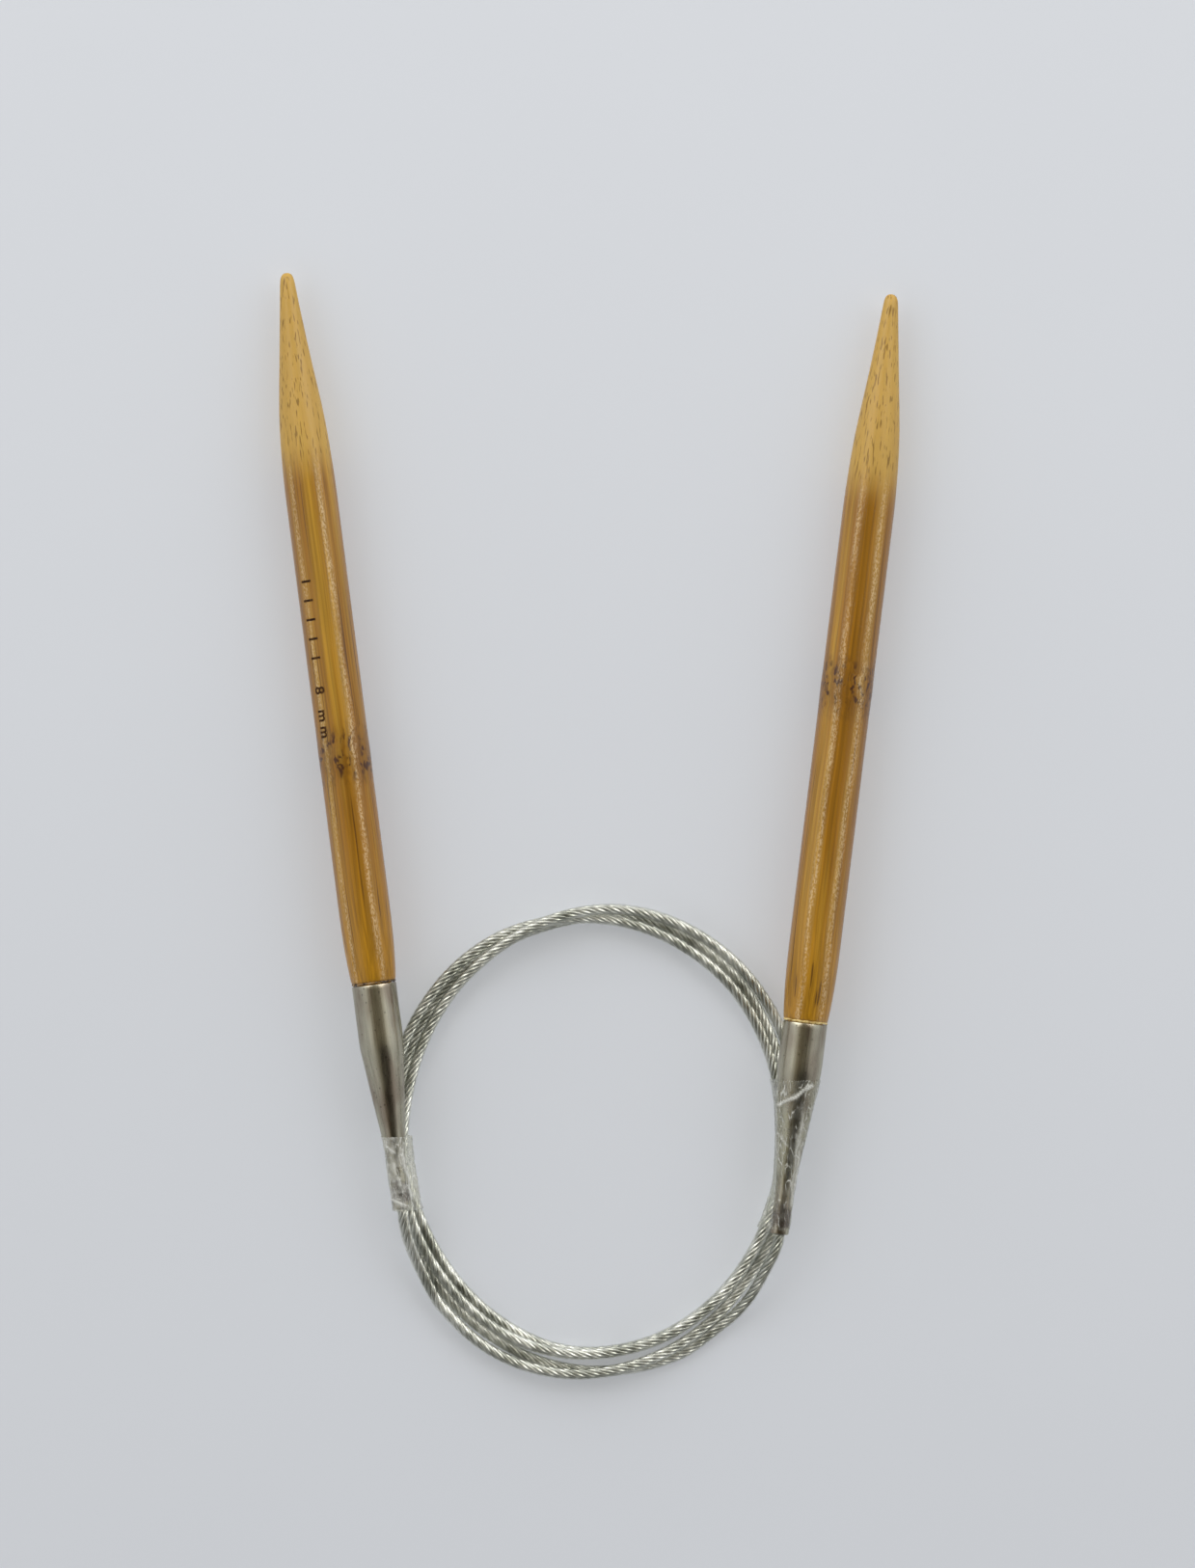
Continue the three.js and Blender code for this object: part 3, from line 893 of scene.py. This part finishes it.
class KNITTING_OT_tape(bpy.types.Operator):
    """The two wraps of clear tape that hold the ferrules to the coil"""

    bl_idname = "knitting.tape"
    bl_label = "Tape wraps"

    def execute(self, context):
        values = context.scene.knitting_tape
        line, _ = cable_line(0.25 * MM)
        for side in NEEDLES:
            loops = self.loops(side, line / MM, values)
            count = len(loops[0])
            faces = [
                (i * count + j, i * count + (j + 1) % count,
                 (i + 1) * count + (j + 1) % count, (i + 1) * count + j)
                for i in range(len(loops) - 1) for j in range(count)]
            film = clear_film(side, values.haze * WRAPS[side]["haze"])
            wrap = mesh_piece("tape_film_" + side, np.vstack(loops) * MM, faces, film)
            # each vertex keeps how strongly it is creased, for the painted white highlight along the
            # folds
            folds = [fold_height(v.co.x / MM, v.co.y / MM, WRAPS[side]["folds"])
                     if v.co.z > 5 * MM else 0 for v in wrap.data.vertices]
            wrap.data.attributes.new("painted_fold_glint", "FLOAT", "POINT").data.foreach_set("value", folds)
            apply_modifier(wrap, "SOLIDIFY", thickness=0.04 * MM, offset=-1)
            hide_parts("tape_wrap_" + side)
            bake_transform(wrap)
        return {"FINISHED"}

    def sections(self, side, line, angles):
        """Each station's y, its centre, and how far out the tight film lies at each angle."""
        spec = WRAPS[side]
        place = needle_place(side)
        axis = place.to_3x3() @ Vector((0, 1, 0))
        mouth = place.translation / MM
        neck = bpy.context.scene.knitting_ferrules.neck / MM
        cable = bpy.context.scene.knitting_cable.diameter / 2 / MM
        stations = np.linspace(spec["top"], spec["bottom"], STATIONS)
        radii, centres = [], []
        for y in stations:
            along = (y - mouth.y) / axis.y
            held = max(along, 0)
            radius = neck + max(held - NECK_LENGTH, 0) * CONE_SLOPE
            if along < -0.3:
                radius = 1        # past the mouth, only the cable
            ferrule = (mouth.x + axis.x * along, mouth.z + axis.z * held, radius)
            near = line[(np.abs(line[:, 1] - y) < cable - 0.02)
                        & (np.abs(line[:, 0] - ferrule[0]) < REACH_ASIDE)]
            sizes = np.sqrt(cable ** 2 - (near[:, 1] - y) ** 2)
            circles = np.vstack([ferrule, np.column_stack([near[:, 0], near[:, 2], sizes])])
            centre = np.array([ferrule[0] + NEEDLES[side]["inward"] * 0.2, SECTION_MIDDLE])
            radii.append(stretched_round(circles, centre, angles))
            centres.append(centre)
        radii = np.array(radii)
        return stations, centres, np.maximum(radii, evened(radii, spec["even"]))

    def loops(self, side, line, values):
        """Closed loops of film, each stretched round a section through the ferrule and the coil."""
        spec = WRAPS[side]
        angles, directions = round_points(STATIONS)
        stations, centres, radii = self.sections(side, line, angles)
        loops = []
        for i, y in enumerate(stations):
            slack = spec["slack"] * (0.5 + 0.5 * math.sin(math.pi * i / (STATIONS - 1)))
            loop = []
            for (across, upward), radius in zip(directions, radii[i] + values.gap / MM):
                reach = radius + slack * max(across * NEEDLES[side]["inward"], 0) ** 3
                x = centres[i][0] + across * reach
                z = centres[i][1] + upward * reach
                if z > 0.6:       # the film is flat where it lies on the floor
                    wave = noise.noise(Vector((x * 0.7, y * 0.45, z * 0.7)))
                    sharp = (1 - abs(noise.noise(Vector((x * 0.9 + 7, y * 0.5, z * 0.9)))) * 2) ** 4
                    push = CRUMPLE * abs(wave) + WRINKLE * max(sharp, 0)
                    if z > 5:
                        push += values.crease / MM * fold_height(x, y, spec["folds"])
                    push *= smoothstep((z - 0.6) / 1.5)
                    x += across * push
                    z += upward * push
                ragged = 0.35 * noise.noise(Vector((x * 0.5, z * 0.5, y * 0.02 + 3)))
                loop.append((x, y + ragged, max(z, 0.03)))
            loops.append(loop)
        return loops[::-1]


# ---- the stage ----

def pale_card(colour):
    """Matt white card: even, with a barely visible mottle."""
    material, tree = new_material("matt_card")
    mottle = noisy(tree, object_place(tree), 14, 3).outputs["Fac"]
    tone = node(tree, "VectorMath", {
        0: colour[:3], "Scale": ranged(tree, mottle, (0, 0.985), (1, 1.015))}, operation="SCALE")
    show(tree, node(tree, "BsdfPrincipled", {"Base Color": tone.outputs[0], "Roughness": 0.7}))
    return material


class StageSettings(bpy.types.PropertyGroup):
    floor: bpy.props.FloatVectorProperty(
        name="Floor colour", description="Pale matt card", default=linear("#d3d7df"),
        subtype="COLOR", size=4)
    side_lamps: bpy.props.FloatProperty(
        name="Side lamps", description="Power of each softbox", default=4.5, subtype="POWER")
    sky: bpy.props.FloatProperty(
        name="Room light", description="Strength of the light round the stage", default=1.22,
        min=0)
    distance: bpy.props.FloatProperty(
        name="Camera distance", description="Above the object's middle", default=0.8,
        unit="LENGTH")


class KNITTING_OT_stage(bpy.types.Operator):
    """Camera straight above, two softboxes, a dim room and a pale floor"""

    bl_idname = "knitting.stage"
    bl_label = "Stage"

    # what the camera sees at the height of the needles: its middle and its long side
    VIEW_X, VIEW_Y, VIEW_LONG = 1.27, -4.79, 243.6
    VIEW_HEIGHT = 4

    def execute(self, context):
        values = context.scene.knitting_stage
        lens = bpy.data.cameras.new("camera")
        camera = bpy.data.objects.new("camera", lens)
        context.scene.collection.objects.link(camera)
        camera.location = (self.VIEW_X * MM, self.VIEW_Y * MM,
                           values.distance + self.VIEW_HEIGHT * MM)
        lens.sensor_width = 36
        lens.lens = 36 * values.distance / (self.VIEW_LONG * MM)
        context.scene.camera = camera
        context.scene.view_settings.view_transform = "Standard"
        context.scene.cycles.transparent_max_bounces = 32

        bpy.ops.object.select_all(action="DESELECT")
        bpy.ops.mesh.primitive_plane_add(size=4)
        floor = context.object
        floor.name = "floor"
        floor.data.materials.append(pale_card(values.floor))

        for name, x, y in (("softbox_left", -0.62, 0.6), ("softbox_right", 0.62, 0.6)):
            lamp = bpy.data.lights.new(name, "AREA")
            lamp.shape = "RECTANGLE"
            lamp.size, lamp.size_y = 0.5, 0.9
            lamp.energy = values.side_lamps
            lamp.color = linear("#fffdf8")[:3]
            lamp.use_shadow = False       # a fill light, so that the shadows stay faint
            box = bpy.data.objects.new(name, lamp)
            box.location = (x, y, 0.62)
            to_middle = -box.location
            box.rotation_euler = to_middle.to_track_quat("-Z", "Y").to_euler()
            context.scene.collection.objects.link(box)
        self.make_room(context.scene, values.sky)
        return {"FINISHED"}

    def make_room(self, scene, strength):
        """A room that is bright round the walls and dark overhead, darkest just short of it."""
        room = bpy.data.worlds.new("room")
        room.use_nodes = True
        tree = room.node_tree
        tree.nodes.clear()
        toward = node(tree, "TexCoord").outputs["Generated"]
        parts = node(tree, "SeparateXYZ", {"Vector": toward})
        ceiling = tones(
            tree, parts.outputs["Z"], (0.3, linear("#d9dbde")), (0.6, linear("#f2f3f5")),
            (0.8, linear("#d3d2cc")), (0.89, linear("#84795f")), (0.95, linear("#756c57")))
        window = ranged(tree, parts.outputs["Y"], (-0.8, 0.4), (0.8, 1.25))
        from_dark = node(tree, "Mapping", {
            "Vector": toward, "Location": (0.26, -0.38, 0.85), "Scale": (0.68, 0.42, 2)},
            vector_type="TEXTURE")
        from_dark = node(tree, "VectorMath", {0: from_dark.outputs[0]}, operation="LENGTH")
        shadow = ranged(tree, from_dark.outputs["Value"], (0.5, 0.08), (1.1, 1), "SMOOTHSTEP")
        tone = node(tree, "VectorMath", {
            0: ceiling, "Scale": reckon(tree, "MULTIPLY", shadow, window)}, operation="SCALE")
        light = node(tree, "Background", {"Color": tone.outputs[0], "Strength": strength})
        node(tree, "OutputWorld", {"Surface": light.outputs[0]})
        scene.world = room


# ---- the add-on ----

class KNITTING_PT_needle(bpy.types.Panel):
    """The steps of making the needle, in order"""

    bl_idname = "KNITTING_PT_needle"
    bl_label = "Circular needle"
    bl_space_type = "VIEW_3D"
    bl_region_type = "UI"
    bl_category = "Knitting"

    def draw(self, context):
        for operator in OPERATORS:
            self.layout.operator(operator.bl_idname)


SETTINGS = {
    "knitting_stage": StageSettings,
    "knitting_cable": CableSettings,
    "knitting_shafts": ShaftSettings,
    "knitting_ferrules": FerruleSettings,
    "knitting_tape": TapeSettings,
}
OPERATORS = (
    KNITTING_OT_stage, KNITTING_OT_cable, KNITTING_OT_shafts, KNITTING_OT_ferrules,
    KNITTING_OT_fittings, KNITTING_OT_tape,
)


def register():
    for cls in (*SETTINGS.values(), *OPERATORS, KNITTING_PT_needle):
        bpy.utils.register_class(cls)
    for name, cls in SETTINGS.items():
        setattr(bpy.types.Scene, name, bpy.props.PointerProperty(type=cls))


def unregister():
    for name in SETTINGS:
        delattr(bpy.types.Scene, name)
    for cls in reversed((*SETTINGS.values(), *OPERATORS, KNITTING_PT_needle)):
        bpy.utils.unregister_class(cls)


def main():
    register()
    bpy.ops.knitting.stage()
    bpy.ops.knitting.cable()
    bpy.ops.knitting.shafts()
    bpy.ops.knitting.ferrules()
    bpy.ops.knitting.fittings()
    bpy.ops.knitting.tape()


if __name__ == "__main__":
    main()
